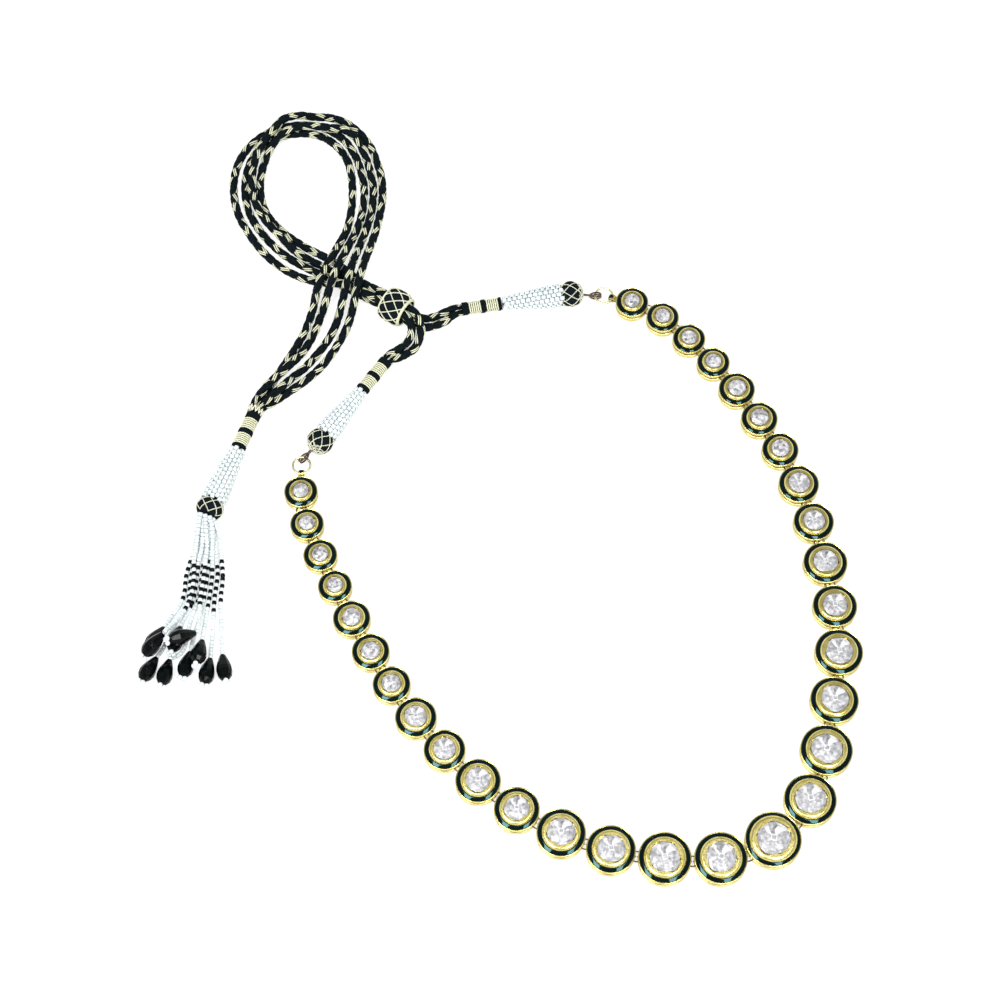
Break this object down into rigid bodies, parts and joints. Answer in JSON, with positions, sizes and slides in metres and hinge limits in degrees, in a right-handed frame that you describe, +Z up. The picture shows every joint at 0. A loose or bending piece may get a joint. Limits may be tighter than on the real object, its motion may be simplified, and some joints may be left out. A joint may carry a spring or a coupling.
{
  "type": "kundan necklace",
  "caption": "Necklace of graduated round enamelled gold bezels with uncut stones, tied by braided cords with a slider and a beaded tassel, lying flat.",
  "frame": {"origin": "centre of the centre bezel's flat back, on the surface that the necklace lies on", "axes": "+Z up from that surface, +Y from the centre bezel towards the cord tie, +X to the right as the necklace is seen from above"},
  "size_m": [0.2016, 0.2412, 0.0104],
  "materials": {
    "gold": "polished",
    "enamel": "glossy",
    "stone": "polished",
    "copper": "satin",
    "black_thread": "woven",
    "white_bead": "pearly",
    "gold_thread": "metallic thread",
    "cord": "braided",
    "black_stone": "polished",
    "pale_thread": "plain"
  },
  "bodies": {
    "root": {"bezel_centre": "gold", "bezel_left_01": "gold", "bezel_left_02": "gold", "bezel_left_03": "gold", "bezel_left_04": "gold", "bezel_left_05": "gold", "bezel_left_06": "gold", "bezel_left_07": "gold", "bezel_left_08": "gold", "bezel_left_09": "gold", "bezel_left_10": "gold", "bezel_left_11": "gold", "bezel_left_12": "gold", "bezel_left_13": "gold", "bezel_left_14": "gold", "bezel_left_15": "gold", "bezel_right_01": "gold", "bezel_right_02": "gold", "bezel_right_03": "gold", "bezel_right_04": "gold", "bezel_right_05": "gold", "bezel_right_06": "gold", "bezel_right_07": "gold", "bezel_right_08": "gold", "bezel_right_09": "gold", "bezel_right_10": "gold", "bezel_right_11": "gold", "bezel_right_12": "gold", "bezel_right_13": "gold", "bezel_right_14": "gold", "bezel_right_15": "gold", "enamel_rings": "enamel", "stones_left": "stone", "stones_right": "stone", "links_left": "gold", "links_right": "gold", "end_ring_left": "gold", "end_ring_right": "gold", "hook_left": "copper", "hook_right": "copper", "ball_left": "black_thread", "ball_right": "black_thread", "bead_sleeve_left": "white_bead", "bead_sleeve_right": "white_bead", "thread_wrap_left": "gold_thread", "thread_wrap_right": "gold_thread", "slider": "black_thread", "cord_1": "cord", "cord_2": "cord", "cord_3": "cord", "cord_4": "cord", "tassel_wrap": "gold_thread", "tassel_sleeve": "white_bead", "tassel_ball": "black_thread", "tassel_strings": "white_bead", "tassel_drops": "black_stone", "tassel_threads": "pale_thread"}
  },
  "joints": []
}
